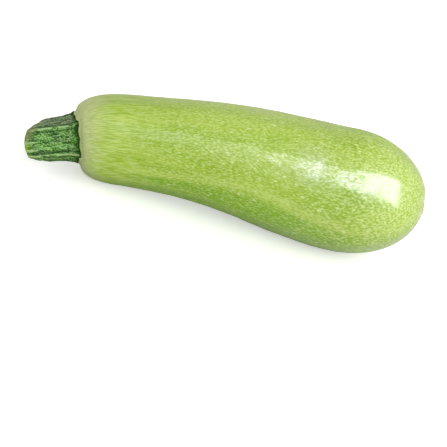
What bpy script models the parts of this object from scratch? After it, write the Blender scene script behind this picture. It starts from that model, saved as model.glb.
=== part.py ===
# Pale green courgette with its cut stem, lying on a level surface.
# Metres, +Z up. +X runs from the stem to the blossom end, and -Y is the side
# that shows. The origin lies on the surface, under the middle of the whole box.
import math

import bmesh
import bpy
from mathutils import Matrix, Vector

# Fruit, along its own axis from the stem's seat to the blossom end
FRUIT_LENGTH = 0.174
NECK_RADIUS = 0.0222
BELLY_RADIUS = 0.0307
TAPER_START = 0.017
TAPER_END = 0.137
SHOULDER_LENGTH = 0.0330
SHOULDER_POWER = 3.6
BLOSSOM_END_LENGTH = 0.0405
BLOSSOM_END_POWER = 2.1

# How far the ends are flattened, for the stem's seat and the flower's scar
SEAT_PRESS = 0.0011
SCAR_PRESS = 0.0006

# The fruit snakes a little in height and bows a little sideways, its neck turns
# down and towards -Y at the seat, and it lies tilted, because the neck is thin
SWAY = 0.0027
SMALL_SWAY = 0.0009
SIDE_BOW = 0.0020
NECK_DROOP = 0.0009
NECK_TURN = 0.0032
NECK_BEND_REACH = 0.009
LIE_TILT = math.radians(6.9)
REST_PRESS = 0.0007

# Five blunt ribs run from end to end, in line with the stem's ridges
RIBS = 5
RIB_PHASE = math.radians(-12)
RIB_HEIGHT = 0.00035
END_RIB_HEIGHT = 0.0008
END_RIB_REACH = 0.022

# Stem, from its seat on the fruit to the middle of its cut end
STEM_GAP = 0.0003
STEM_LENGTH = 0.0180
STEM_RADIUS = 0.0099
STEM_FLARE = 0.0022
STEM_FLARE_REACH = 0.0039
STEM_DROOP = math.radians(1.4)
RIDGE_SHARE = 0.065
FURROW_SHARE = 0.030

# The knife went through at a slant: how steep, and which side it left longest.
# The edge that it left has drawn in a little.
CUT_SLANT = math.tan(math.radians(38))
CUT_TURN = math.radians(20)
EDGE_DRAW = 0.09
EDGE_DRAW_REACH = 0.0020

# Points round and along each piece, and the shares of the stem's rings that
# lie on its flat base and on its cut end
SIDES = 50
FRUIT_RINGS = 44
STEM_RINGS = 28
STEM_BASE_SHARE = 0.16
STEM_CUT_SHARE = 0.20

SKIN_COLOUR = (0.38, 0.55, 0.12)
SKIN_ROUGHNESS = 0.38
STEM_COLOUR = (0.05, 0.17, 0.04)
STEM_ROUGHNESS = 0.6


def smooth_step(value, low, high):
    share = min(1.0, max(0.0, (value - low) / (high - low)))
    return share * share * (3 - 2 * share)


def round_end(distance, reach, power):
    # Share of full radius at a distance from an end whose outline is a superellipse
    if distance >= reach:
        return 1.0
    inward = 1 - max(0.0, distance) / reach
    return (1 - inward**power) ** (1 / power)


def ridge_wave(angle, count):
    return math.cos(count * (angle - RIB_PHASE))


def fruit_radius(station, angle):
    taper = smooth_step(station, TAPER_START, TAPER_END)
    radius = NECK_RADIUS + (BELLY_RADIUS - NECK_RADIUS) * taper
    shoulder = round_end(station, SHOULDER_LENGTH, SHOULDER_POWER)
    from_blossom = FRUIT_LENGTH - station
    blossom = round_end(from_blossom, BLOSSOM_END_LENGTH, BLOSSOM_END_POWER)
    near_end = math.exp(-min(station, from_blossom) / END_RIB_REACH)
    rib = RIB_HEIGHT + (END_RIB_HEIGHT - RIB_HEIGHT) * near_end
    return (radius + rib * ridge_wave(angle, RIBS)) * shoulder * blossom


def fruit_axis(station):
    # Middle of the fruit's section, and the direction in which it runs on
    turn = math.pi * station / FRUIT_LENGTH
    rate = math.pi / FRUIT_LENGTH
    bend = math.exp(-station / NECK_BEND_REACH)
    side = SIDE_BOW * math.sin(turn) - NECK_TURN * bend
    side_slope = SIDE_BOW * rate * math.cos(turn) + NECK_TURN * bend / NECK_BEND_REACH
    rise = SWAY * math.sin(2 * turn) - SMALL_SWAY * math.sin(3 * turn) - NECK_DROOP * bend
    rise_slope = 2 * SWAY * math.cos(2 * turn) - 3 * SMALL_SWAY * math.cos(3 * turn)
    rise_slope = rise_slope * rate + NECK_DROOP * bend / NECK_BEND_REACH
    return Vector((station, side, rise)), Vector((1, side_slope, rise_slope)).normalized()


def section_point(middle, along, radius, angle):
    # Angle 0 faces -Y and 90 degrees faces +Z
    up = (Vector((0, 0, 1)) - along * along.z).normalized()
    front = along.cross(up)
    return middle + radius * (math.cos(angle) * front + math.sin(angle) * up)


def fruit_point(share, angle):
    station = FRUIT_LENGTH * (1 - math.cos(math.pi * share)) / 2
    radius = fruit_radius(station, angle)
    pressed = min(max(station, SEAT_PRESS), FRUIT_LENGTH - SCAR_PRESS)
    middle, along = fruit_axis(pressed)
    return section_point(middle, along, radius, angle)


def stem_radius(station, angle):
    radius = STEM_RADIUS + STEM_FLARE * math.exp(-station / STEM_FLARE_REACH)
    ridge = RIDGE_SHARE * ridge_wave(angle, RIBS)
    furrow = FURROW_SHARE * ridge_wave(angle, 2 * RIBS)
    return radius * (1 + ridge + furrow)


def cut_station(radius, angle):
    # Where the knife's plane stands at that place in the stem's section
    return STEM_LENGTH + CUT_SLANT * radius * math.cos(angle - CUT_TURN)


def stem_axis(station):
    # The stem leaves the seat square and droops along an arc
    seat, along = fruit_axis(SEAT_PRESS)
    start = -along
    down = (Vector((0, 0, -1)) + start * start.z).normalized()
    arc_radius = STEM_LENGTH / STEM_DROOP
    turn = station / arc_radius
    ahead = math.sin(turn) * start
    drop = (1 - math.cos(turn)) * down
    middle = seat + STEM_GAP * start + arc_radius * (ahead + drop)
    return middle, -(math.cos(turn) * start + math.sin(turn) * down)


def stem_point(share, angle):
    # Out over the flat base, along the rind, then in over the cut end
    outward = min(1.0, share / STEM_BASE_SHARE)
    inward = min(1.0, (1 - share) / STEM_CUT_SHARE)
    run = (share - STEM_BASE_SHARE) / (1 - STEM_BASE_SHARE - STEM_CUT_SHARE)
    run = min(1.0, max(0.0, run))
    edge = cut_station(STEM_RADIUS, angle)
    station = run * edge
    drawn = 1 - EDGE_DRAW * math.exp((station - edge) / EDGE_DRAW_REACH)
    radius = stem_radius(station, angle) * drawn * outward * inward
    if run == 1:
        station = cut_station(radius, angle)
    middle, along = stem_axis(station)
    return section_point(middle, along, radius, angle)


def plain_material(name, colour, roughness):
    material = bpy.data.materials.new(name)
    material.use_nodes = True
    surface = material.node_tree.nodes["Principled BSDF"]
    surface.inputs["Base Color"].default_value = (*colour, 1)
    surface.inputs["Roughness"].default_value = roughness
    surface.inputs["Metallic"].default_value = 0
    material.diffuse_color = (*colour, 1)
    return material


def shaped_sphere(name, rings, place):
    # A UV sphere whose points move to place(share from pole to pole, angle)
    mesh = bpy.data.meshes.new(name)
    form = bmesh.new()
    bmesh.ops.create_uvsphere(form, u_segments=SIDES, v_segments=rings, radius=1)
    for point in form.verts:
        share = math.acos(max(-1.0, min(1.0, -point.co.z))) / math.pi
        angle = math.atan2(point.co.y, point.co.x)
        point.co = place(share, angle)
    form.normal_update()
    bmesh.ops.recalc_face_normals(form, faces=form.faces)
    form.to_mesh(mesh)
    form.free()
    return bpy.data.objects.new(name, mesh)


def lay_down(objects):
    # Tilts the pieces to how the fruit lies, sets them on z = 0, presses the
    # lowest skin flat, and brings the middle of their box over the origin
    for obj in objects:
        obj.data.transform(Matrix.Rotation(-LIE_TILT, 4, "Y"))
    points = [point.co for obj in objects for point in obj.data.vertices]
    low = [min(point[axis] for point in points) for axis in range(3)]
    high = [max(point[axis] for point in points) for axis in range(3)]
    middle_x = (low[0] + high[0]) / 2
    middle_y = (low[1] + high[1]) / 2
    shift = Vector((-middle_x, -middle_y, -low[2] - REST_PRESS))
    for obj in objects:
        for point in obj.data.vertices:
            point.co += shift
            point.co.z = max(0.0, point.co.z)


def main():
    for obj in list(bpy.data.objects):
        bpy.data.objects.remove(obj)
    collection = bpy.data.collections.new("courgette")
    bpy.context.scene.collection.children.link(collection)

    fruit = shaped_sphere("fruit", FRUIT_RINGS, fruit_point)
    fruit.data.materials.append(plain_material("skin", SKIN_COLOUR, SKIN_ROUGHNESS))
    stem = shaped_sphere("stem", STEM_RINGS, stem_point)
    stem.data.materials.append(plain_material("stem_rind", STEM_COLOUR, STEM_ROUGHNESS))

    lay_down([fruit, stem])
    for obj in (fruit, stem):
        collection.objects.link(obj)
        obj.data.shade_smooth()


main()
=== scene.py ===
# A pale green courgette with its cut stem, lying on a pale surface in soft studio light.
import math

import bpy
import numpy as np
from mathutils import Matrix, Quaternion, Vector


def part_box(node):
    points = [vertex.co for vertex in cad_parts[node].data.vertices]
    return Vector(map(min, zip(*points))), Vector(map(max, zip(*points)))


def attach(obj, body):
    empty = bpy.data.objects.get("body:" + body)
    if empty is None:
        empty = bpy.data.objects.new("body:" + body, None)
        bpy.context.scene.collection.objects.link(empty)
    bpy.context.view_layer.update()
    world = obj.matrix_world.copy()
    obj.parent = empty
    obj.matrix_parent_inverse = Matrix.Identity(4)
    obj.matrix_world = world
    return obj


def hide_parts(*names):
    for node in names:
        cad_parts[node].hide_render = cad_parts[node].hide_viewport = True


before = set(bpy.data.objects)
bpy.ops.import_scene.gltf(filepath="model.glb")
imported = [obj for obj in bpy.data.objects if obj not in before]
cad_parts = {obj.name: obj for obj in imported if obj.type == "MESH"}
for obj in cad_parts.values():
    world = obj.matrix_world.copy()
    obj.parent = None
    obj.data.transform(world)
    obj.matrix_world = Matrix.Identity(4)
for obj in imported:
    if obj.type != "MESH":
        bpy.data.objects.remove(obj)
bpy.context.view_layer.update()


# The fruit's axis, from the stem's seat to the blossom end: it snakes and bows a little, in metres
axisShape = {
    "Length": 0.174,
    "Sway": 0.0027,
    "Small sway": 0.0009,
    "Side bow": 0.0020,
    "Neck droop": 0.0009,
    "Neck turn": 0.0032,
    "Neck bend reach": 0.009,
    "Seat press": 0.0011,
}
# The fruit round that axis
fruitShape = {
    "Neck radius": 0.0222,
    "Belly radius": 0.0307,
    "Taper start": 0.017,
    "Taper end": 0.137,
    "Shoulder length": 0.0330,
    "Shoulder power": 3.6,
    "Blossom end length": 0.0405,
    "Blossom end power": 2.1,
    "Scar press": 0.0006,
    "Ribs": 5,
    "Rib phase": math.radians(-12),
    "Rib height": 0.00035,
    "End rib height": 0.0008,
    "End rib reach": 0.022,
    "Sides": 320,
    "Rings": 280,
    # Fine relief, which the plain solid leaves out
    "Relief": 1.0,
    "Crest height": 0.00025,
    "Lump size": 0.017,
    "Lump height": 0.00030,
    "Dimple size": 0.0075,
    "Dimple height": 0.00020,
    "Ripple size": 0.0030,
    "Ripple height": 0.00004,
    "Groove size": 0.0020,
    "Groove height": 0.00014,
    "Groove fade start": 0.006,
    "Groove fade end": 0.045,
    "Groove rest": 0.15,
    "Blossom groove start": 0.010,  # from the blossom end, as is the next
    "Blossom groove full": 0.002,
    "Blossom groove share": 0.5,
    "Pole calm start": 0.012,  # from the axis, as is the next
    "Pole calm full": 0.004,
    "Rim radius": 0.0136,
    "Rim wave": 0.0008,
    "Rim width": 0.0013,
    "Rim height": 0.0005,
    "Scar radius": 0.0060,
    "Scar lift": 0.00035,
    "Scar groove": 0.00030,
    "Scar groove place": 0.0003,
    "Scar groove width": 0.0007,
    "Scar ribs": 0.05,
    "Scar wave": 0.30,
    "Scar wave size": 0.003,
    "Scar wave girth": 0.0045,
    "Scar softness": 0.0004,
    "Scar dot radius": 0.0010,
    "Scar dot depth": 0.00056,
    "Belly calm": 0.25,
    "Calm start": 0.62,  # in shares of the length, as is the next
    "Calm end": 0.80,
    "Cork size": 0.0008,
    "Cork height": 0.00016,
}
# How the fruit lies: its neck is thinner than its belly, so its axis is tilted
lying = {"tilt": math.radians(6.9), "softness": 0.0005}
streakRadius = 0.028  # the girth on which lengthwise streaks are drawn


class Wire:
    # A number or a vector on its way through a node tree, so that a rule reads as a formula
    def __init__(self, tree, socket):
        self.tree = tree
        self.socket = socket

    def __add__(self, other):
        return maths("ADD", self, other)

    def __radd__(self, other):
        return maths("ADD", other, self)

    def __sub__(self, other):
        return maths("SUBTRACT", self, other)

    def __rsub__(self, other):
        return maths("SUBTRACT", other, self)

    def __mul__(self, other):
        return maths("MULTIPLY", self, other)

    def __rmul__(self, other):
        return maths("MULTIPLY", other, self)

    def __truediv__(self, other):
        return maths("DIVIDE", self, other)

    def __rtruediv__(self, other):
        return maths("DIVIDE", other, self)

    def __pow__(self, other):
        return maths("POWER", self, other)

    def __neg__(self):
        return maths("MULTIPLY", self, -1)

    def part(self, index):
        # One of its three numbers
        return wireOf(self.tree, "ShaderNodeSeparateXYZ", {0: self}, index)


def feed(tree, socket, value):
    # Links a wire to a socket, or sets a plain value on it
    if isinstance(value, Wire):
        tree.links.new(value.socket, socket)
    else:
        socket.default_value = value


def addNode(tree, kind, feeds=None, **settings):
    node = tree.nodes.new(kind)
    for name, value in settings.items():
        setattr(node, name, value)
    for key, value in (feeds or {}).items():
        feed(tree, node.inputs[key], value)
    return node


def wireOf(tree, kind, feeds=None, out=0, **settings):
    # The wire that comes out of a new node
    return Wire(tree, addNode(tree, kind, feeds, **settings).outputs[out])


def treeOf(*values):
    return next(value.tree for value in values if isinstance(value, Wire))


def maths(operation, *values, clamp=False):
    feeds = dict(enumerate(values))
    return wireOf(treeOf(*values), "ShaderNodeMath", feeds, operation=operation, use_clamp=clamp)


def vectorMaths(operation, *values):
    return wireOf(treeOf(*values), "ShaderNodeVectorMath", dict(enumerate(values)), operation=operation)


def scaled(vector, amount):
    return wireOf(treeOf(vector, amount), "ShaderNodeVectorMath", {0: vector, 3: amount}, operation="SCALE")


def vector(x, y, z):
    return wireOf(treeOf(x, y, z), "ShaderNodeCombineXYZ", {0: x, 1: y, 2: z})


def blend(value, low, high, atLow=0.0, atHigh=1.0):
    # Goes smoothly from atLow to atHigh while value goes from low to high, which may be the smaller one
    feeds = {0: value, 1: low, 2: high, 3: atLow, 4: atHigh}
    tree = treeOf(value, low, high, atLow, atHigh)
    return wireOf(tree, "ShaderNodeMapRange", feeds, interpolation_type="SMOOTHSTEP")


def bell(value, middle, width):
    # 1 at the middle, falling to nothing about two widths away on either side
    offset = (value - middle) / width
    return maths("EXPONENT", -(offset * offset))


def noise(place, size, stretch=1.0, detail=2.0, roughness=0.5):
    # Soft random pattern from 0 to 1, with features of a size in metres, stretched lengthwise
    grain = vectorMaths("MULTIPLY", place, (1 / stretch, 1, 1))
    feeds = {"Vector": grain, "Scale": 1 / size, "Detail": detail, "Roughness": roughness}
    return wireOf(place.tree, "ShaderNodeTexNoise", feeds)


socketKinds = {
    int: "NodeSocketInt",
    float: "NodeSocketFloat",
    tuple: "NodeSocketVector",
    bpy.types.Material: "NodeSocketMaterial",
    bpy.types.Object: "NodeSocketObject",
}


def newTree(name, inputs):
    # A Geometry Nodes tree with one named input for each entry, and wires from those inputs
    tree = bpy.data.node_groups.new(name, "GeometryNodeTree")
    tree.interface.new_socket("Geometry", in_out="OUTPUT", socket_type="NodeSocketGeometry")
    source = tree.nodes.new("NodeGroupInput")
    wires = {}
    for label, value in inputs.items():
        tree.interface.new_socket(label, in_out="INPUT", socket_type=socketKinds[type(value)])
        wires[label] = Wire(tree, source.outputs[label])
    return tree, wires


def finishTree(tree, geometry, material):
    # The last nodes of every tree: real geometry, shaded smooth, with its material
    real = wireOf(tree, "GeometryNodeRealizeInstances", {0: geometry})
    smooth = wireOf(tree, "GeometryNodeSetShadeSmooth", {0: real})
    dressed = wireOf(tree, "GeometryNodeSetMaterial", {0: smooth, "Material": material})
    addNode(tree, "NodeGroupOutput", {0: dressed})


def store(tree, geometry, name, value, kind="FLOAT"):
    feeds = {"Geometry": geometry, "Name": name, "Value": value}
    return wireOf(tree, "GeometryNodeStoreNamedAttribute", feeds, data_type=kind, domain="POINT")


def stored(tree, name):
    return wireOf(tree, "GeometryNodeInputNamedAttribute", {"Name": name}, data_type="FLOAT")


def grow(name, tree, inputs):
    # Runs a tree on an empty mesh and returns what it makes as a plain mesh object
    host = bpy.data.objects.new(name + "_host", bpy.data.meshes.new(name + "_host"))
    bpy.context.scene.collection.objects.link(host)
    modifier = host.modifiers.new(name, "NODES")
    modifier.node_group = tree
    for item in tree.interface.items_tree:
        if item.in_out == "INPUT":
            modifier[item.identifier] = inputs[item.name]
    evaluated = host.evaluated_get(bpy.context.evaluated_depsgraph_get())
    mesh = bpy.data.meshes.new_from_object(evaluated)
    mesh.name = name
    bpy.data.objects.remove(host)
    piece = bpy.data.objects.new(name, mesh)
    bpy.context.scene.collection.objects.link(piece)
    return piece


def corners(mesh):
    points = np.empty(len(mesh.vertices) * 3)
    mesh.vertices.foreach_get("co", points)
    points = points.reshape(-1, 3)
    return Vector(points.min(axis=0)), Vector(points.max(axis=0))


def roundEnd(distance, reach, power):
    # Share of full radius at a distance from an end whose outline is a superellipse
    inward = 1 - maths("MULTIPLY", distance / reach, 1, clamp=True)
    return maths("POWER", 1 - inward ** power, 1 / power)


def unrolled(station, angle, radius):
    # Place on the straightened piece: along its axis, and round it at that radius
    return vector(station, radius * maths("COSINE", angle), radius * maths("SINE", angle))


def axisAt(size, station):
    # The middle of the fruit's section at a station, and the way the axis runs on there
    turn = station / size["Length"] * math.pi
    rate = math.pi / size["Length"]
    bend = maths("EXPONENT", -station / size["Neck bend reach"])
    bendSlope = bend / size["Neck bend reach"]
    side = size["Side bow"] * maths("SINE", turn) - size["Neck turn"] * bend
    sideSlope = size["Side bow"] * rate * maths("COSINE", turn) + size["Neck turn"] * bendSlope
    rise = size["Sway"] * maths("SINE", turn * 2) - size["Small sway"] * maths("SINE", turn * 3)
    swaySlope = size["Sway"] * 2 * maths("COSINE", turn * 2)
    smallSwaySlope = size["Small sway"] * 3 * maths("COSINE", turn * 3)
    riseSlope = (swaySlope - smallSwaySlope) * rate + size["Neck droop"] * bendSlope
    middle = vector(station, side, rise - size["Neck droop"] * bend)
    return middle, vectorMaths("NORMALIZE", vector(1.0, sideSlope, riseSlope))


def sectionSpot(middle, along, radius, angle):
    # A place on the section round that middle: angle 0 is the front, 90 degrees the top
    up = vectorMaths("NORMALIZE", vectorMaths("SUBTRACT", (0, 0, 1), scaled(along, along.part(2))))
    front = vectorMaths("CROSS_PRODUCT", along, up)
    outward = vectorMaths("ADD", scaled(front, maths("COSINE", angle)), scaled(up, maths("SINE", angle)))
    return vectorMaths("ADD", middle, scaled(outward, radius))


def roundBall(tree, size):
    # A ball to be shaped: its points, their angle round it and their share of the way from pole to pole
    feeds = {"Segments": size["Sides"], "Rings": size["Rings"], "Radius": 1.0}
    ball = wireOf(tree, "GeometryNodeMeshUVSphere", feeds)
    place = wireOf(tree, "GeometryNodeInputPosition")
    angle = maths("ARCTAN2", place.part(1), place.part(0))
    share = maths("ARCCOSINE", -place.part(2)) / math.pi
    return ball, angle, share


def reliefOf(size, label, place, stretch=1.0, detail=1.0, roughness=0.5):
    # Bumps and hollows of a named size and height, stretched lengthwise
    waves = noise(place, size[label + " size"], stretch, detail, roughness) - 0.5
    return waves * 2 * size[label + " height"]


def shapeIt(tree, mesh, spot, material):
    # Moves the ball's points to their places, then along the surface's own normal by the fine relief
    shaped = wireOf(tree, "GeometryNodeSetPosition", {"Geometry": mesh, "Position": spot})
    offset = scaled(wireOf(tree, "GeometryNodeInputNormal"), stored(tree, "relief"))
    raised = wireOf(tree, "GeometryNodeSetPosition", {"Geometry": shaped, "Offset": offset})
    finishTree(tree, raised, material)


def fruitTree():
    tree, size = newTree("courgette fruit", axisShape | fruitShape | {"Material": materials["skin"]})
    ball, angle, share = roundBall(tree, size)
    length = size["Length"]
    station = length * (1 - maths("COSINE", share * math.pi)) / 2
    fromBlossom = length - station

    taper = blend(station, size["Taper start"], size["Taper end"])
    girth = size["Neck radius"] + (size["Belly radius"] - size["Neck radius"]) * taper
    shoulder = roundEnd(station, size["Shoulder length"], size["Shoulder power"])
    blossom = roundEnd(fromBlossom, size["Blossom end length"], size["Blossom end power"])
    nearEnd = maths("EXPONENT", -maths("MINIMUM", station, fromBlossom) / size["End rib reach"])
    ribWave = maths("COSINE", (angle - size["Rib phase"]) * size["Ribs"])
    rib = size["Rib height"] + (size["End rib height"] - size["Rib height"]) * nearEnd
    radius = (girth + rib * ribWave) * shoulder * blossom
    pressed = maths("MINIMUM", maths("MAXIMUM", station, size["Seat press"]), length - size["Scar press"])
    middle, along = axisAt(size, pressed)

    # Patterns follow the skin: "skin" is the place on the straightened fruit, "streak" the same at one girth
    skin = unrolled(station, angle, radius)
    streak = unrolled(share * length, angle, streakRadius)
    blossomHalf = blend(station, length * 0.45, length * 0.55)
    scarRound = unrolled(station * 0, angle, size["Scar wave girth"])
    scarWave = noise(scarRound, size["Scar wave size"], detail=1.0) - 0.5
    scarEdge = size["Scar radius"] * (1 + size["Scar ribs"] * ribWave + size["Scar wave"] * scarWave)
    scarSoftness = size["Scar softness"]
    scar = blend(radius - scarEdge, -scarSoftness, scarSoftness, atLow=1.0, atHigh=0.0) * blossomHalf
    mesh = store(tree, ball, "skin", skin, "FLOAT_VECTOR")
    mesh = store(tree, mesh, "streak", streak, "FLOAT_VECTOR")
    mesh = store(tree, mesh, "ribWave", ribWave)
    mesh = store(tree, mesh, "fromAxis", radius)
    mesh = store(tree, mesh, "scar", scar)

    # Fine relief: soft lumps, blunt crests, grooves at both ends, a swollen rim at the stem, a corky scar
    lumps = reliefOf(size, "Lump", skin, stretch=1.6)
    ripples = reliefOf(size, "Dimple", skin, stretch=1.5) + reliefOf(size, "Ripple", skin, stretch=2.2)
    calmStart, calmEnd = length * size["Calm start"], length * size["Calm end"]
    ripples = ripples * blend(station, calmStart, calmEnd, atLow=1.0, atHigh=size["Belly calm"])
    crest = blend(ribWave, 0.1, 1.0) * size["Crest height"]
    nearStem = blend(station, size["Groove fade start"], size["Groove fade end"],
                     atLow=1.0, atHigh=size["Groove rest"])
    nearFlower = blend(fromBlossom, size["Blossom groove full"], size["Blossom groove start"],
                       atLow=size["Blossom groove share"], atHigh=0.0)
    grooves = reliefOf(size, "Groove", streak, stretch=14.0) * (nearStem + nearFlower)
    calm = blend(radius, size["Pole calm full"], size["Pole calm start"])
    rimPlace = size["Rim radius"] + size["Rim wave"] * ribWave
    rim = bell(radius, rimPlace, size["Rim width"]) * size["Rim height"] * (1 - blossomHalf)
    scarRing = bell(radius - scarEdge, size["Scar groove place"], size["Scar groove width"])
    scarRing = scarRing * blossomHalf * size["Scar groove"]
    cork = reliefOf(size, "Cork", skin, detail=3.0, roughness=0.6) * scar
    scarDot = bell(radius, 0.0, size["Scar dot radius"]) * blossomHalf * size["Scar dot depth"]
    relief = (lumps + ripples + crest + grooves) * calm + rim
    relief = relief + scar * size["Scar lift"] - scarRing + cork - scarDot
    mesh = store(tree, mesh, "relief", relief * size["Relief"])
    shapeIt(tree, mesh, sectionSpot(middle, along, radius, angle), size["Material"])
    return tree


# The stem, from its seat on the fruit to the knife's slanting cut, in metres
stemShape = {
    "Stem length": 0.0180,
    "Stem radius": 0.0099,
    "Flare": 0.0022,
    "Flare reach": 0.0039,
    "Droop": math.radians(1.4),
    "Cut slant": math.tan(math.radians(38)),
    "Cut turn": math.radians(20),
    "Edge draw": 0.09,
    "Edge draw reach": 0.0020,
    "Ridges": 5,
    "Ridge phase": math.radians(-12),
    "Ridge share": 0.065,
    "Furrow share": 0.030,
    "Base share": 0.16,
    "Cut share": 0.20,
    "Sink": 0.0006,
    "Sides": 320,
    "Rings": 240,
    # Fine relief, which the plain solid leaves out
    "Toe size": 0.0021,
    "Toe height": 0.00055,
    "Toe reach": 0.0018,
    "Crest height": 0.00016,
    "Line size": 0.0011,
    "Line height": 0.00022,
    "Wart size": 0.0010,
    "Wart height": 0.00016,
    "Ragged size": 0.0010,
    "Ragged height": 0.00022,
}


def stemTree():
    tree, size = newTree("courgette stem", axisShape | stemShape | {"Material": materials["rind"]})
    ball, angle, share = roundBall(tree, size)
    # Out over the flat base, along the rind, then in over the cut end
    outward = maths("MINIMUM", share / size["Base share"], 1.0)
    inward = maths("MINIMUM", (1 - share) / size["Cut share"], 1.0)
    rindShare = 1 - size["Base share"] - size["Cut share"]
    run = maths("MULTIPLY", (share - size["Base share"]) / rindShare, 1.0, clamp=True)
    onCut = maths("GREATER_THAN", run, 0.9999)
    slant = size["Cut slant"] * maths("COSINE", angle - size["Cut turn"])
    edge = size["Stem length"] + slant * size["Stem radius"]
    beforeEdge = edge * (1 - run)

    wave = maths("COSINE", (angle - size["Ridge phase"]) * size["Ridges"])
    furrow = maths("COSINE", (angle - size["Ridge phase"]) * size["Ridges"] * 2)
    fluted = 1 + size["Ridge share"] * wave + size["Furrow share"] * furrow
    drawn = 1 - size["Edge draw"] * maths("EXPONENT", -beforeEdge / size["Edge draw reach"])
    girth = size["Stem radius"] + size["Flare"] * maths("EXPONENT", -run * edge / size["Flare reach"])
    around = unrolled(share * 0, angle, size["Stem radius"])
    toes = reliefOf(size, "Toe", around) * maths("EXPONENT", -run * edge / size["Toe reach"])
    radius = (girth + toes) * fluted * drawn * outward * inward
    station = run * edge * (1 - onCut) + (size["Stem length"] + slant * radius) * onCut

    # The stem leaves the seat square, sunk a little into the fruit, and droops along an arc
    seat, along = axisAt(size, size["Seat press"])
    start = scaled(along, -1.0)
    down = vectorMaths("NORMALIZE", vectorMaths("ADD", (0, 0, -1), scaled(start, start.part(2))))
    arcRadius = size["Stem length"] / size["Droop"]
    turn = (station - size["Sink"] * (1 - run)) / arcRadius
    ahead, drop = arcRadius * maths("SINE", turn), arcRadius * (1 - maths("COSINE", turn))
    middle = vectorMaths("ADD", seat, vectorMaths("ADD", scaled(start, ahead), scaled(down, drop)))
    heading = vectorMaths("ADD", scaled(start, maths("COSINE", turn)), scaled(down, maths("SINE", turn)))

    rindPlace = unrolled(station, angle, radius)
    mesh = store(tree, ball, "rind", rindPlace, "FLOAT_VECTOR")
    mesh = store(tree, mesh, "ridgeWave", wave)
    mesh = store(tree, mesh, "cut", onCut)
    mesh = store(tree, mesh, "fromSeat", station)
    mesh = store(tree, mesh, "fromEdge", beforeEdge)
    mesh = store(tree, mesh, "fromAxis", radius)

    crest = blend(wave, 0.72, 1.0) * size["Crest height"]
    lines = reliefOf(size, "Line", rindPlace, stretch=7.0)
    warts = noise(rindPlace, size["Wart size"], stretch=1.8, detail=1.0)
    warts = blend(warts, 0.50, 0.66) * size["Wart height"]
    ragged = reliefOf(size, "Ragged", rindPlace, detail=3.0, roughness=0.6)
    relief = (crest + lines + warts) * outward ** 4 * (1 - onCut) + ragged * onCut * inward
    mesh = store(tree, mesh, "relief", relief)
    shapeIt(tree, mesh, sectionSpot(middle, scaled(heading, -1.0), radius, angle), size["Material"])
    return tree


def linear(red, green, blue):
    # Turns a colour given as it shows on screen, 0 to 255, into what the shader wants
    shares = [value / 255 for value in (red, green, blue)]
    return (*[v / 12.92 if v <= 0.04045 else ((v + 0.055) / 1.055) ** 2.4 for v in shares], 1.0)


def tints(colours):
    return {name: linear(*colour) for name, colour in colours.items()}


def attribute(tree, name, out="Vector"):
    return wireOf(tree, "ShaderNodeAttribute", out=out, attribute_name=name)


def mix(share, first, second):
    # The first colour where share is 0, the second where it is 1
    feeds = {0: share, 6: first, 7: second}
    return wireOf(treeOf(share, first, second), "ShaderNodeMix", feeds, out=2, data_type="RGBA")


def flecks(place, size, stretch, chance, reach):
    # Irregular dots: a cell pattern in which only some cells show, each with its own size
    grain = vectorMaths("MULTIPLY", place, (1 / stretch, 1, 1))
    feeds = {"Vector": grain, "Scale": 1 / size, "Randomness": 1.0}
    cells = addNode(place.tree, "ShaderNodeTexVoronoi", feeds)
    distance = Wire(place.tree, cells.outputs["Distance"])
    draw = Wire(place.tree, cells.outputs["Color"])
    shown = blend(draw.part(0), 1 - chance, 1.05 - chance)
    spread = reach * (0.6 + 0.6 * draw.part(1))
    return (1 - blend(distance, spread * 0.5, spread)) * shown


def newMaterial(name, roughness, specular=0.5):
    material = bpy.data.materials.new(name)
    material.use_nodes = True
    surface = material.node_tree.nodes["Principled BSDF"]
    surface.inputs["Roughness"].default_value = roughness
    surface.inputs["Specular IOR Level"].default_value = specular
    return material, material.node_tree, surface


def bumpOf(tree, height):
    # Turns a height in metres into the shader's normal
    return wireOf(tree, "ShaderNodeBump", {"Height": height, "Distance": 1.0, "Strength": 1.0})


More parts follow.
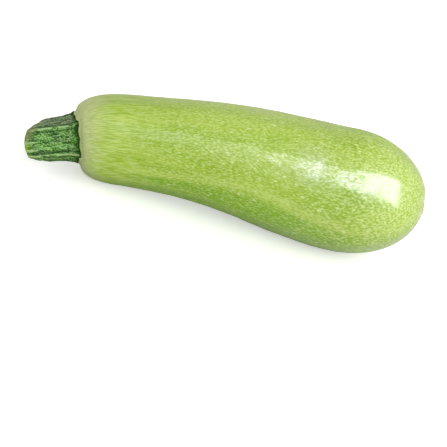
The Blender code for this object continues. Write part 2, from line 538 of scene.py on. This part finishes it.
skinLook = {
    # Colours as they show on screen, 0 to 255
    "colours": {
        "green": (164, 193, 60),
        "deep green": (134, 175, 26),
        "pale green": (184, 208, 94),
        "fleck": (206, 226, 134),
        "dash": (222, 236, 158),
        # painted shade and painted green bounce light for the fruit's lower side
        "shaded flank": (122, 174, 12),
        "crest": (196, 220, 116),
        # colour of the painted highlight
        "paintedHighlight": (218, 226, 196),
        "shoulder": (200, 212, 140),
        "shoulder streak": (220, 228, 168),
        "blossom end": (196, 222, 112),
        "blossom streak": (224, 236, 188),
        "dark dash": (92, 132, 34),
        "cork": (212, 200, 142),
        "cork light": (230, 224, 168),
        "cork dark": (150, 136, 72),
    },
    # How far each mark covers the colour under it
    "cover": {
        "pale patch": 0.60,
        "deep patch": 0.50,
        "pale rib": 0.30,
        "deep hollow": 0.20,
        "shaded flank": 0.85,
        "sheenCrown": 0.50,
        "crest": 0.60,
        "pale band": 0.55,
        "deep band": 0.70,
        "blossom end": 0.30,
        "stroke": 0.45,
        "blossom grain": 0.80,
        "grain": 0.62,
        "more on belly": 0.12,
        "less on neck": 0.03,
        "grain gap": 0.45,
        "dot": 0.60,
        "paintedHighlight": 0.20,
        "highlight grain": 0.25,
        "shoulder": 0.90,
        "ray": 0.55,
        "dark dash": 0.75,
    },
    # Where each mark comes or goes, in metres from the stem's seat
    "station": {
        "bands end": (0.012, 0.080),
        "strokes start": (0.012, 0.020),
        "dashes start": (0.010, 0.062),
        "worms start": (0.080, 0.130),
        "flank start": (0.012, 0.045),
        "flank softens": (0.100, 0.160),
        "crown end": (0.160, 0.100),
        "crest start": (0.040, 0.065),
        "crest end": (0.142, 0.105),
        "shoulder end": (0.0015, 0.0190),
        "dull neck": (0.085, 0.045),
    },
    # The same in metres from the blossom end, and for the scar's rays in metres from the axis too
    "from blossom": {
        "pale": (0.040, 0.008),
        "pale grain": (0.050, 0.010),
        "rays": (0.030, 0.050),
        "rays from axis": (0.007, 0.015),
    },
    # Middle and width of what swells and fades along the fruit, in metres from the stem's seat
    "swell": {
        "crest rise": (0.088, 0.045),
        "paintedHighlight": (0.114, 0.0085),
        "frosty wax": (0.114, 0.0070),
    },
    # Angles round the fruit: 0 is the front, 90 degrees the top
    "angle": {
        "crest": math.radians(-14),
        "crest rise": math.radians(14),
        "crest wander": 0.10,
        "crest line": 0.04,
        "crest width": 0.06,
        "flank edge": (0.03, 0.15),
        "flank end": math.radians(-150),
        "flank fade": 0.9,
        "sheenCrown": math.radians(104),
        "crown width": 0.40,
        "paintedHighlight": math.radians(42),
        "frost width": 0.28,
    },
    # Sizes of the patterns, in metres
    "size": {
        "patch": 0.014,
        "band": 0.0044,
        "thread": 0.00066,
        "dash": 0.00066 * 0.9,
        "worm": 0.00066 * 1.15,
        "dot": 0.0016,
        "speck": 0.0044,
        "stroke": 0.0034,
        "ray": 0.0075,
        "dark dash": 0.0042,
        "cork mottle": 0.0014,
        "cork dot": 0.0009,
        "wax patch": 0.0060,
        "pore": 0.0011,
        "shoulder streak": 0.016,
        "shoulder fray": 0.007,
    },
    # The wax turns glossy past a line that slants round the fruit; the shares add to its own patchy pattern
    "wax": {
        "gloss start": 0.1030,
        "gloss slant": 0.029,
        "gloss ramp": 0.028,
        "past start": 0.30,
        "frosty patch": 0.05,
        "dull neck": 0.07,
        "grain": 0.16,
        "least gloss": 0.15,
        "most gloss": 0.82,
        "roughness": 0.16,
    },
    "roughness": 0.40,
    "scar roughness": 0.35,
    "shoulder roughness": 0.12,
    "pore height": 0.000030,
}


def skinMaterial():
    look = skinLook
    material, tree, surface = newMaterial("courgette skin", look["roughness"], specular=0.15)
    tint = tints(look["colours"])
    cover, at, ending, swell = look["cover"], look["station"], look["from blossom"], look["swell"]
    turn, size, waxLook = look["angle"], look["size"], look["wax"]
    skin = attribute(tree, "skin")
    streak = attribute(tree, "streak")
    ribWave = attribute(tree, "ribWave", "Fac")
    fromAxis = attribute(tree, "fromAxis", "Fac")
    scar = attribute(tree, "scar", "Fac")
    station = skin.part(0)
    fromBlossom = axisShape["Length"] - station
    angle = maths("ARCTAN2", streak.part(2), streak.part(1))

    # Broad soft patches, with paler ribs and deeper hollows between them
    patches = noise(streak, size["patch"], stretch=3.0)
    colour = mix(blend(patches, 0.42, 0.66) * cover["pale patch"], tint["green"], tint["pale green"])
    colour = mix(blend(patches, 0.48, 0.34) * cover["deep patch"], colour, tint["deep green"])
    colour = mix(blend(ribWave, 0.35, 1.0) * cover["pale rib"], colour, tint["pale green"])
    colour = mix(blend(ribWave, -0.2, -1.0) * cover["deep hollow"], colour, tint["deep green"])

    # The lowest rib that shows in front: a paler line along its crest, and under it a deeper, richer green
    # that is painted shade and painted green bounce light
    wander = (patches - 0.5) * turn["crest wander"]
    crestAngle = turn["crest"] + turn["crest rise"] * bell(station, *swell["crest rise"]) + wander
    nearEdge, farEdge = turn["flank edge"]
    shadedFlank = blend(angle, crestAngle - nearEdge, crestAngle - farEdge)
    shadedFlank = shadedFlank * blend(angle, turn["flank end"], turn["flank end"] + turn["flank fade"])
    shadedFlank = shadedFlank * blend(station, *at["flank start"])
    shadedFlank = shadedFlank * blend(station, *at["flank softens"], atLow=1.0, atHigh=0.6)
    colour = mix(shadedFlank * cover["shaded flank"], colour, tint["shaded flank"])
    # Painted sheen: the top of the neck is painted paler, standing in for the white surroundings' reflection
    # there
    sheenCrown = bell(angle, turn["sheenCrown"], turn["crown width"]) * blend(station, *at["crown end"])
    colour = mix(sheenCrown * cover["sheenCrown"], colour, tint["shoulder"])
    crestLine = bell(angle, crestAngle + turn["crest line"], turn["crest width"])
    crestLine = crestLine * blend(station, *at["crest start"]) * blend(station, *at["crest end"])
    colour = mix(crestLine * cover["crest"], colour, tint["crest"])

    # Lengthwise bands, strongest on the neck
    bands = noise(streak, size["band"], stretch=12.0, detail=1.5)
    neck = blend(station, *at["bands end"], atLow=1.0, atHigh=0.2)
    colour = mix(blend(bands, 0.51, 0.66) * neck * cover["pale band"], colour, tint["pale green"])
    colour = mix(blend(bands, 0.48, 0.34) * neck * cover["deep band"], colour, tint["deep green"])
    colour = mix(blend(fromBlossom, *ending["pale"]) * cover["blossom end"], colour, tint["blossom end"])

    # Grain: long threads near the neck, dashes further on, and short worms on the belly
    midway = blend(station, *at["dashes start"])
    belly = blend(station, *at["worms start"])
    threads = noise(streak, size["thread"], stretch=8.0, detail=1.3)
    dashes = noise(skin, size["dash"], stretch=2.6, detail=1.5)
    worms = noise(skin, size["worm"], stretch=2.3, detail=1.2)
    grain = threads * (1 - midway) + dashes * midway * (1 - belly) + worms * belly
    marks = blend(grain, 0.42, 0.66)

    # Short deep strokes on the neck lie under the grain, and pale dots and specks on top of it
    strokes = flecks(streak, size["stroke"], stretch=3.6, chance=0.22, reach=0.26)
    strokes = strokes * blend(station, *at["strokes start"]) * (1 - midway)
    colour = mix(strokes * cover["stroke"], colour, tint["deep green"])
    paler = blend(fromBlossom, *ending["pale grain"]) * cover["blossom grain"]
    marksCover = cover["grain"] + belly * cover["more on belly"] - neck * cover["less on neck"]
    colour = mix(marks * marksCover, colour, mix(paler, tint["fleck"], tint["dash"]))
    colour = mix(blend(grain, 0.47, 0.36) * cover["grain gap"], colour, tint["deep green"])
    dots = flecks(skin, size["dot"], stretch=2.2, chance=0.36, reach=0.32)
    specks = flecks(skin, size["speck"], stretch=2.4, chance=0.50, reach=0.14)
    colour = mix(maths("MAXIMUM", dots, specks * 1.3) * midway * cover["dot"], colour, tint["dash"])

    # A painted highlight: a whiter, frosty patch painted on the upper front, where the belly begins, where
    # the wax's reflection breaks up
    paintedHighlight = bell(station, *swell["paintedHighlight"]) * bell(angle, turn["paintedHighlight"], turn["frost width"])
    colour = mix(paintedHighlight * (cover["paintedHighlight"] + marks * cover["highlight grain"]), colour, tint["paintedHighlight"])

    # The pale shoulder round the stem, which runs out in streaks
    ragged = station + (bands - 0.5) * size["shoulder streak"] + (threads - 0.5) * size["shoulder fray"]
    shoulder = blend(ragged, *at["shoulder end"], atLow=1.0, atHigh=0.0)
    beige = mix(blend(threads, 0.36, 0.66), tint["shoulder"], tint["shoulder streak"])
    colour = mix(shoulder * cover["shoulder"], colour, beige)

    # Pale rays and short dark dashes round the scar, then the scar's cork
    nearScar = blend(fromAxis, *ending["rays from axis"], atLow=1.0, atHigh=0.0)
    nearScar = nearScar * blend(fromBlossom, *ending["rays"], atLow=1.0, atHigh=0.0)
    rays = noise(streak, size["ray"], stretch=5.0)
    darkDashes = flecks(streak, size["dark dash"], stretch=2.2, chance=0.35, reach=0.30)
    colour = mix(blend(rays, 0.46, 0.60) * nearScar * cover["ray"], colour, tint["blossom streak"])
    colour = mix(darkDashes * nearScar * cover["dark dash"], colour, tint["dark dash"])
    mottle = noise(skin, size["cork mottle"], detail=3.0)
    cork = mix(blend(mottle, 0.40, 0.62), tint["cork"], tint["cork light"])
    cork = mix(bell(fromAxis, 0.0, size["cork dot"]), cork, tint["cork dark"])
    feed(tree, surface.inputs["Base Color"], mix(scar, colour, cork))

    # Skin under the wax: rougher on the shoulder and the scar
    smoothest, roughest = look["roughness"] - 0.04, look["roughness"] + 0.06
    uneven = noise(skin, size["wax patch"], stretch=1.5)
    uneven = blend(uneven, 0.35, 0.65, atLow=smoothest, atHigh=roughest)
    rougher = scar * look["scar roughness"] + shoulder * look["shoulder roughness"]
    feed(tree, surface.inputs["Roughness"], uneven + rougher)

    # Wax: patchy and dull on the neck, frosty in one place, and glossy from a slanting line on
    glossStart = waxLook["gloss start"] + waxLook["gloss slant"] * angle
    wax = noise(skin, size["wax patch"], stretch=1.6, detail=3.0, roughness=0.65)
    wax = wax + blend(station, glossStart, glossStart + waxLook["gloss ramp"]) * waxLook["past start"]
    wax = wax + bell(station, *swell["frosty wax"]) * waxLook["frosty patch"]
    wax = wax - blend(station, *at["dull neck"]) * waxLook["dull neck"]
    wax = wax + (marks - 0.5) * waxLook["grain"]
    gloss = blend(wax, 0.45, 0.68, atLow=waxLook["least gloss"], atHigh=waxLook["most gloss"])
    feed(tree, surface.inputs["Coat Weight"], gloss * (1 - scar) * (1 - shoulder * 0.6))
    surface.inputs["Coat Roughness"].default_value = waxLook["roughness"]
    pores = noise(skin, size["pore"], stretch=1.6) + marks * 0.4
    normal = bumpOf(tree, pores * look["pore height"])
    feed(tree, surface.inputs["Normal"], normal)
    feed(tree, surface.inputs["Coat Normal"], normal)
    return material


rindLook = {
    # Colours as they show on screen, 0 to 255
    "colours": {
        "dark": (38, 84, 14),
        "green": (84, 140, 46),
        "fleck": (172, 216, 140),
        "crest": (176, 208, 142),
        "tip": (138, 184, 40),
        # the darkest green: for dark gaps and furrows, and for the painted shade at the stem's foot
        "foot": (24, 60, 10),
        "knife edge": (132, 133, 82),
        "sheen grey": (80, 100, 62),
        # painted sheen on the upper facet, and its flecks
        "sheen grey fleck": (184, 204, 164),
        "cut flesh": (186, 194, 140),
        "cut core": (206, 212, 168),
        "cut ring": (132, 150, 84),
    },
    # How far each mark covers the colour under it
    "cover": {
        "facet": 0.80,
        "tip": 0.95,
        "fleck": 0.72,
        "fewer on tip": 0.45,
        "gap": 0.80,
        "fewer gaps on tip": 0.60,
        "crest": 0.80,
        "furrow": 0.75,
        "foot": 0.85,
        "worn edge": 0.80,
        "tip line": 0.80,
    },
    # Where each mark comes or goes, in metres from the seat
    "station": {
        "flecks start": (0.0008, 0.0034),
        "tip start": (0.0215, 0.0250),
        "tip lines start": (0.0180, 0.0225),
        "foot end": (0.0006, 0.0022),
    },
    # Angles round the stem: 0 is the front, 90 degrees the top
    "angle": {
        "tip": math.radians(14),
        "tip width": 0.27,
        "tip line": math.radians(27),
        "low tip line": math.radians(4),
        "line width": 0.045,
        "facet start": math.radians(62),
        "facet edge": 0.16,
        "facet end": (2.6, 2.2),
        "worn edge": math.radians(64),
        "worn width": 0.55,
    },
    # Sizes of the patterns, in metres
    "size": {
        "shade": 0.0032,
        "mottle": 0.00043,
        "row": 0.00075,
        "wander": 0.0030,
        "broken line": 0.0018,
        "pulp": 0.0011,
        "grain": 0.0007,
        "seat fray": 0.006,
        "edge fray": 0.008,
        "least worn": 0.0012,
        "most worn": 0.0052,
        "knife line": 0.0002,
    },
    # The cut end, in metres from the stem's axis
    "ring radius": 0.0054,
    "ring wave": 0.0005,
    "ring width": 0.0009,
    "rim": (0.0074, 0.0088),
    "roughness": 0.65,
    "grain height": 0.00006,
}


def rindMaterial():
    look = rindLook
    material, tree, surface = newMaterial("courgette stem rind", look["roughness"], specular=0.05)
    tint = tints(look["colours"])
    cover, at, turn, size = look["cover"], look["station"], look["angle"], look["size"]
    rind = attribute(tree, "rind")
    wave = attribute(tree, "ridgeWave", "Fac")
    cut = attribute(tree, "cut", "Fac")
    fromSeat = attribute(tree, "fromSeat", "Fac")
    fromEdge = attribute(tree, "fromEdge", "Fac")
    fromAxis = attribute(tree, "fromAxis", "Fac")
    angle = maths("ARCTAN2", rind.part(2), rind.part(1))

    # Dark green, painted greyer on the upper facet as painted sheen, with a bright patch at the tip
    shade = noise(rind, size["shade"], stretch=2.5)
    mottling = noise(rind, size["mottle"], stretch=2.0, detail=1.5)
    rows = noise(rind, size["row"], stretch=9.0, detail=1.0)
    lattice = mottling * 0.62 + rows * 0.38
    raggedSeat = fromSeat + (lattice - 0.5) * size["seat fray"]
    colour = mix(blend(shade, 0.38, 0.62), tint["dark"], tint["green"])
    facet = blend(angle, turn["facet start"], turn["facet start"] + turn["facet edge"])
    facet = facet * blend(angle, *turn["facet end"])
    colour = mix(facet * cover["facet"], colour, tint["sheen grey"])
    tip = blend(raggedSeat, *at["tip start"]) * bell(angle, turn["tip"], turn["tip width"])
    colour = mix(tip * cover["tip"], colour, tint["tip"])

    # Dense pale mottling in rows, and dark gaps in it
    thinning = blend(shade, 0.30, 0.50, atLow=0.65, atHigh=1.0) * blend(fromSeat, *at["flecks start"])
    marks = blend(lattice, 0.47, 0.58) * thinning
    fleckColour = mix(facet, tint["fleck"], tint["sheen grey fleck"])
    colour = mix(marks * (cover["fleck"] - tip * cover["fewer on tip"]), colour, fleckColour)
    gaps = blend(lattice, 0.46, 0.39) * (cover["gap"] - tip * cover["fewer gaps on tip"])
    colour = mix(gaps, colour, tint["foot"])

    # A thin broken line on every ridge, dark furrows on both sides of it, and a dark foot, which is painted
    # shade where the stem meets the fruit
    wavy = wave + (noise(rind, size["wander"], stretch=2.0, detail=1.0) - 0.5) * 0.06
    broken = blend(noise(rind, size["broken line"], stretch=3.0, detail=1.0), 0.34, 0.46)
    colour = mix(blend(wavy, 0.955, 0.990) * broken * cover["crest"], colour, tint["crest"])
    beside = maths("SINE", (angle - stemShape["Ridge phase"]) * stemShape["Ridges"])
    onRidge = blend(wave, 0.2, 0.6)
    furrowLine = bell(beside, 0.62, 0.22) * onRidge + bell(beside, -0.62, 0.16) * onRidge
    colour = mix(furrowLine * cover["furrow"], colour, tint["foot"])
    # Painted shade: the foot is darkened where the stem meets the fruit
    foot = blend(raggedSeat, *at["foot end"], atLow=1.0, atHigh=0.0)
    colour = mix(foot * cover["foot"], colour, tint["foot"])

    # A brown worn edge where the knife went through, and pale lines that run together at the tip
    worn = bell(angle, turn["worn edge"], turn["worn width"])
    raggedEdge = fromEdge + (lattice - 0.5) * size["edge fray"]
    wornStart, wornEnd = worn * size["least worn"], worn * size["most worn"] + size["knife line"]
    brown = blend(raggedEdge, wornStart, wornEnd, atLow=cover["worn edge"], atHigh=0.0)
    colour = mix(brown, colour, tint["knife edge"])
    highLine = bell(angle, turn["tip line"], turn["line width"])
    lowLine = bell(angle, turn["low tip line"], turn["line width"])
    tipLines = maths("MAXIMUM", highLine, lowLine) * blend(fromSeat, *at["tip lines start"])
    colour = mix(tipLines * cover["tip line"], colour, tint["crest"])

    # The cut end: a pale spongy core, a darker five-lobed ring, and a thin brown rim
    pulp = noise(rind, size["pulp"], detail=3.0)
    flesh = mix(blend(pulp, 0.40, 0.60), tint["cut flesh"], tint["cut core"])
    ringRadius = wave * look["ring wave"] + look["ring radius"]
    lobes = bell(fromAxis + (pulp - 0.5) * 0.003, ringRadius, look["ring width"])
    flesh = mix(lobes * blend(wave, -0.9, 0.4, atLow=0.35, atHigh=0.90), flesh, tint["cut ring"])
    flesh = mix(blend(fromAxis + (pulp - 0.5) * 0.002, *look["rim"]), flesh, tint["knife edge"])
    feed(tree, surface.inputs["Base Color"], mix(cut, colour, flesh))
    grain = noise(rind, size["grain"], stretch=3.0) + marks * 0.8
    feed(tree, surface.inputs["Normal"], bumpOf(tree, grain * look["grain height"]))
    return material


# Short stiff hairs on the stem
bristleShape = {
    "Density": 0.8e6,
    "Length": 0.00055,
    "Thickness": 0.000045,
    "Sides": 3,
    "Root share": 0.1,
    "Bare foot": 0.0012,
    "Least lean": (-0.5, -0.5, 0.0),
    "Most lean": (0.5, 0.5, 6.28),
    "Least scale": 0.5,
    "Most scale": 1.2,
    "Seed": 7,
}
bristleLook = {"colour": (168, 196, 132), "patch size": 0.002, "roughness": 0.6}


def bristleMaterial():
    look = bristleLook
    material, tree, surface = newMaterial("courgette stem bristle", look["roughness"])
    place = wireOf(tree, "ShaderNodeTexCoord", out="Object")
    patches = blend(noise(place, look["patch size"], detail=1.0), 0.4, 0.6)
    fleck = linear(*rindLook["colours"]["fleck"])
    feed(tree, surface.inputs["Base Color"], mix(patches, linear(*look["colour"]), fleck))
    return material


def bristleTree(stem):
    inputs = bristleShape | {"Stem": stem, "Material": materials["bristle"]}
    tree, size = newTree("courgette stem bristles", inputs)
    body = wireOf(tree, "GeometryNodeObjectInfo", {"Object": size["Stem"]}, "Geometry")
    onRind = maths("LESS_THAN", stored(tree, "cut"), 0.1)
    pastFoot = maths("GREATER_THAN", stored(tree, "fromSeat"), size["Bare foot"])
    feeds = {"Mesh": body, "Selection": onRind * pastFoot, "Density": size["Density"], "Seed": size["Seed"]}
    scatter = addNode(tree, "GeometryNodeDistributePointsOnFaces", feeds)

    # One hair, its root sunk a little
    feeds = {"Vertices": size["Sides"], "Radius Top": 0.0, "Radius Bottom": size["Thickness"],
             "Depth": size["Length"]}
    hair = wireOf(tree, "GeometryNodeMeshCone", feeds, fill_type="NONE")
    sunk = vector(0.0, 0.0, -size["Length"] * size["Root share"])
    rooted = wireOf(tree, "GeometryNodeTransform", {"Geometry": hair, "Translation": sunk})

    # Each stands off the rind with a lean and a length of its own
    feeds = {"Min": size["Least lean"], "Max": size["Most lean"]}
    lean = wireOf(tree, "FunctionNodeRandomValue", feeds, data_type="FLOAT_VECTOR")
    feeds = {0: Wire(tree, scatter.outputs["Rotation"]), 1: lean}
    leaning = wireOf(tree, "FunctionNodeRotateRotation", feeds, rotation_space="LOCAL")
    feeds = {2: size["Least scale"], 3: size["Most scale"]}
    scale = wireOf(tree, "FunctionNodeRandomValue", feeds, out=1, data_type="FLOAT")
    feeds = {"Points": Wire(tree, scatter.outputs["Points"]), "Instance": rooted,
             "Rotation": leaning, "Scale": scale}
    finishTree(tree, wireOf(tree, "GeometryNodeInstanceOnPoints", feeds), size["Material"])
    return tree


def layDown(pieces, shift):
    # Tilts the pieces as the fruit lies, and presses the skin softly flat where it rests
    for piece in pieces:
        piece.data.transform(Matrix.Translation(shift) @ Matrix.Rotation(-lying["tilt"], 4, "Y"))
        points = np.empty(len(piece.data.vertices) * 3)
        piece.data.vertices.foreach_get("co", points)
        height = points[2::3]
        points[2::3] = (height + np.sqrt(height ** 2 + lying["softness"] ** 2)) / 2
        piece.data.vertices.foreach_set("co", points)
        piece.data.update()


materials = {"skin": skinMaterial(), "rind": rindMaterial(), "bristle": bristleMaterial()}
print("materials made")

fruitNodes = fruitTree()
fruitSizes = axisShape | fruitShape | {"Material": materials["skin"]}
plain = grow("plain_fruit", fruitNodes, fruitSizes | {"Relief": 0.0})
plain.data.transform(Matrix.Rotation(-lying["tilt"], 4, "Y"))
plainLow, plainHigh = corners(plain.data)
cadLow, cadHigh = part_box("fruit")
toFrame = (cadLow + cadHigh - plainLow - plainHigh) / 2
toFrame.z = cadHigh.z - plainHigh.z
bpy.data.objects.remove(plain)
fruitPiece = grow("courgette_fruit", fruitNodes, fruitSizes)
print("fruit grown:", len(fruitPiece.data.polygons), "faces")

stemSizes = axisShape | stemShape | {"Material": materials["rind"]}
stemPiece = grow("courgette_stem", stemTree(), stemSizes)
print("stem grown:", len(stemPiece.data.polygons), "faces")

layDown([fruitPiece, stemPiece], toFrame)
bristleSizes = bristleShape | {"Stem": stemPiece, "Material": materials["bristle"]}
bristlePiece = grow("courgette_stem_bristles", bristleTree(stemPiece), bristleSizes)
print("bristles grown:", len(bristlePiece.data.polygons), "faces")

for piece, node, slot in ((fruitPiece, "fruit", "skin"), (stemPiece, "stem", "stem_rind")):
    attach(piece, "root")
    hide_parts(node)
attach(bristlePiece, "root")


# The studio: a white floor, white all round, and soft lights from the front right and from above
studio = {
    "floorSize": 8.0,
    "floorColour": (246, 246, 245),
    "floorBounce": (205, 205, 204),
    "floorMirrored": 0.5,
    "floorGlow": 0.45,
    "surround": 0.66,
    "surroundMirrored": 0.46,
    "lightDistance": 1.26,
    "glossTint": (0.71, 0.68, 1.0),
}
# Gloss needs a brighter source than colour does, so each light shows in one of the two only
softLights = {
    "front": {"azimuth": 31, "elevation": 32, "turn": 0,
              "size": (1.20, 1.00), "power": 6.5, "shows": "colour"},
    "right": {"azimuth": 80, "elevation": 42, "turn": 0,
              "size": (1.00, 1.00), "power": 3.6, "shows": "colour"},
    "window": {"azimuth": 41, "elevation": 44, "turn": -21,
               "size": (1.55, 0.85), "power": 68.0, "shows": "gloss"},
    "veil": {"azimuth": -14, "elevation": 42, "turn": 0,
             "size": (0.60, 0.50), "power": 4.2, "shows": "gloss"},
}


def bearing(azimuth, elevation):
    # Unit vector towards a place round the object: azimuth 0 is in front, 90 on the right
    turn, lift = math.radians(azimuth), math.radians(elevation)
    return Vector((math.sin(turn) * math.cos(lift), -math.cos(turn) * math.cos(lift), math.sin(lift)))


def makeFloor():
    half = studio["floorSize"] / 2
    mesh = bpy.data.meshes.new("floor")
    spots = [(-half, -half, 0), (half, -half, 0), (half, half, 0), (-half, half, 0)]
    mesh.from_pydata(spots, [], [(0, 1, 2, 3)])
    floor = bpy.data.objects.new("floor", mesh)
    bpy.context.scene.collection.objects.link(floor)
    material, tree, surface = newMaterial("pale floor", 0.9, 0.0)
    # The floor is overexposed, as in a studio: it looks whiter than the light that it throws back
    path = addNode(tree, "ShaderNodeLightPath")
    seen = Wire(tree, path.outputs["Is Camera Ray"])
    mirrored = Wire(tree, path.outputs["Is Glossy Ray"])
    white = maths("MAXIMUM", seen, mirrored * studio["floorMirrored"])
    colour = mix(white, linear(*studio["floorBounce"]), linear(*studio["floorColour"]))
    feed(tree, surface.inputs["Base Color"], colour)
    surface.inputs["Emission Color"].default_value = (1, 1, 1, 1)
    feed(tree, surface.inputs["Emission Strength"], seen * studio["floorGlow"])
    mesh.materials.append(material)


def makeSoftLight(name, light):
    panel = bpy.data.lights.new(name, "AREA")
    panel.shape = "RECTANGLE"
    panel.size, panel.size_y = light["size"]
    panel.energy = light["power"]
    panel.color = studio["glossTint"] if light["shows"] == "gloss" else (1, 1, 1)
    towards = bearing(light["azimuth"], light["elevation"])
    facing = towards.to_track_quat("Z", "Y") @ Quaternion((0, 0, 1), math.radians(light["turn"]))
    lamp = bpy.data.objects.new(name, panel)
    lamp.location = towards * studio["lightDistance"]
    lamp.rotation_euler = facing.to_euler()
    lamp.visible_diffuse = light["shows"] == "colour"
    lamp.visible_glossy = light["shows"] == "gloss"
    lamp.visible_camera = False
    bpy.context.scene.collection.objects.link(lamp)


def makeSurround():
    world = bpy.data.worlds.new("white studio")
    world.use_nodes = True
    background = world.node_tree.nodes["Background"]
    background.inputs["Color"].default_value = (1, 1, 1, 1)
    # White where it shows past the floor's edge, and softer as a light
    path = addNode(world.node_tree, "ShaderNodeLightPath")
    seen = Wire(world.node_tree, path.outputs["Is Camera Ray"])
    mirrored = Wire(world.node_tree, path.outputs["Is Glossy Ray"])
    glow = studio["surround"] + mirrored * (studio["surroundMirrored"] - studio["surround"])
    feed(world.node_tree, background.inputs["Strength"], maths("MAXIMUM", seen, glow))
    bpy.context.scene.world = world


# The photograph's view: a long lens, from the front and above, held tilted
viewpoint = {
    "azimuth": -5,
    "elevation": 30,
    "roll": math.radians(19.2),
    "distance": 0.6058,
    "lens": 100,
    "sensor": 36,
    "imageSize": 447,
    "aimHeight": 0.030,
    "aimPixel": (231.2, 158.1),
}


def makeCamera():
    view = viewpoint
    back = bearing(view["azimuth"], view["elevation"])
    right = Vector((math.cos(math.radians(view["azimuth"])), math.sin(math.radians(view["azimuth"])), 0))
    up = back.cross(right)
    rolledRight = math.cos(view["roll"]) * right + math.sin(view["roll"]) * up
    rolledUp = math.cos(view["roll"]) * up - math.sin(view["roll"]) * right
    focal = view["lens"] / view["sensor"] * view["imageSize"]
    acrossImage = (view["aimPixel"][0] - view["imageSize"] / 2) / focal
    upImage = (view["imageSize"] / 2 - view["aimPixel"][1]) / focal
    aim = Vector((0, 0, view["aimHeight"]))
    offset = acrossImage * rolledRight + upImage * rolledUp
    camera = bpy.data.cameras.new("camera")
    camera.lens = view["lens"]
    camera.sensor_width = view["sensor"]
    camera.clip_start = 0.01
    camera.clip_end = 50
    holder = bpy.data.objects.new("camera", camera)
    place = aim + view["distance"] * (back - offset)
    turn = Matrix((rolledRight, rolledUp, back)).transposed()
    holder.matrix_world = Matrix.Translation(place) @ turn.to_4x4()
    bpy.context.scene.collection.objects.link(holder)
    bpy.context.scene.camera = holder


makeFloor()
makeSurround()
for name, light in softLights.items():
    makeSoftLight(name, light)
makeCamera()
bpy.context.scene.view_settings.view_transform = "Standard"
print("studio set")
